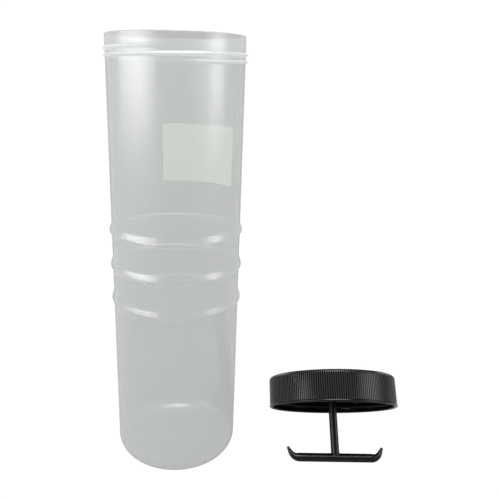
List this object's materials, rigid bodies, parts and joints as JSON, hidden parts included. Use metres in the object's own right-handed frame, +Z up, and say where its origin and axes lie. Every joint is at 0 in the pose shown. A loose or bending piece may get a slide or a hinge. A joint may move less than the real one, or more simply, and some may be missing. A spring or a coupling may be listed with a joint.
{
  "type": "film developing tank",
  "caption": "Tall translucent screw-top developing jar with stiffening beads; its black knurled cap carries an anchor-shaped hanging hook.",
  "frame": {"origin": "centre of the jar's flat base, on the surface it stands on", "axes": "+Z up along the jar's axis, out of its mouth; +X towards the cap, which lies beside the jar; +Y away from the side that faces the viewer"},
  "size_m": [0.2595, 0.1136, 0.36],
  "materials": {
    "translucent_polypropylene": "natural translucent polypropylene, satin, slightly milky",
    "label_paper": "blank white write-on paper label, matt",
    "black_polypropylene": "black moulded polypropylene, satin, fine vertical knurl",
    "foam_liner": "dark closed-cell foam sealing disc, matt",
    "black_nylon": "black moulded nylon, satin",
    "nitrile_rubber": "black nitrile rubber, matt",
    "stainless_steel": "plain stainless steel"
  },
  "bodies": {
    "jar": {"jar_body": "translucent_polypropylene", "jar_label": "label_paper"},
    "hanger": {"anchor_hook": "black_nylon", "stem_o_ring": "nitrile_rubber", "stem_washer": "stainless_steel", "stem_screw": "stainless_steel"},
    "cap": {"cap_shell": "black_polypropylene", "cap_liner": "foam_liner"}
  },
  "joints": [
    {"name": "cap_lift", "type": "slide", "parent": "jar", "child": "hanger", "axis": [0, 0, 1], "range_m": [0, 0.38]},
    {"name": "cap_turn", "type": "hinge", "parent": "hanger", "child": "cap", "pos_m": [0.145, -0.0132, 0.03728], "axis": [0.0444, 0.6336, 0.7724], "continuous": true}
  ]
}
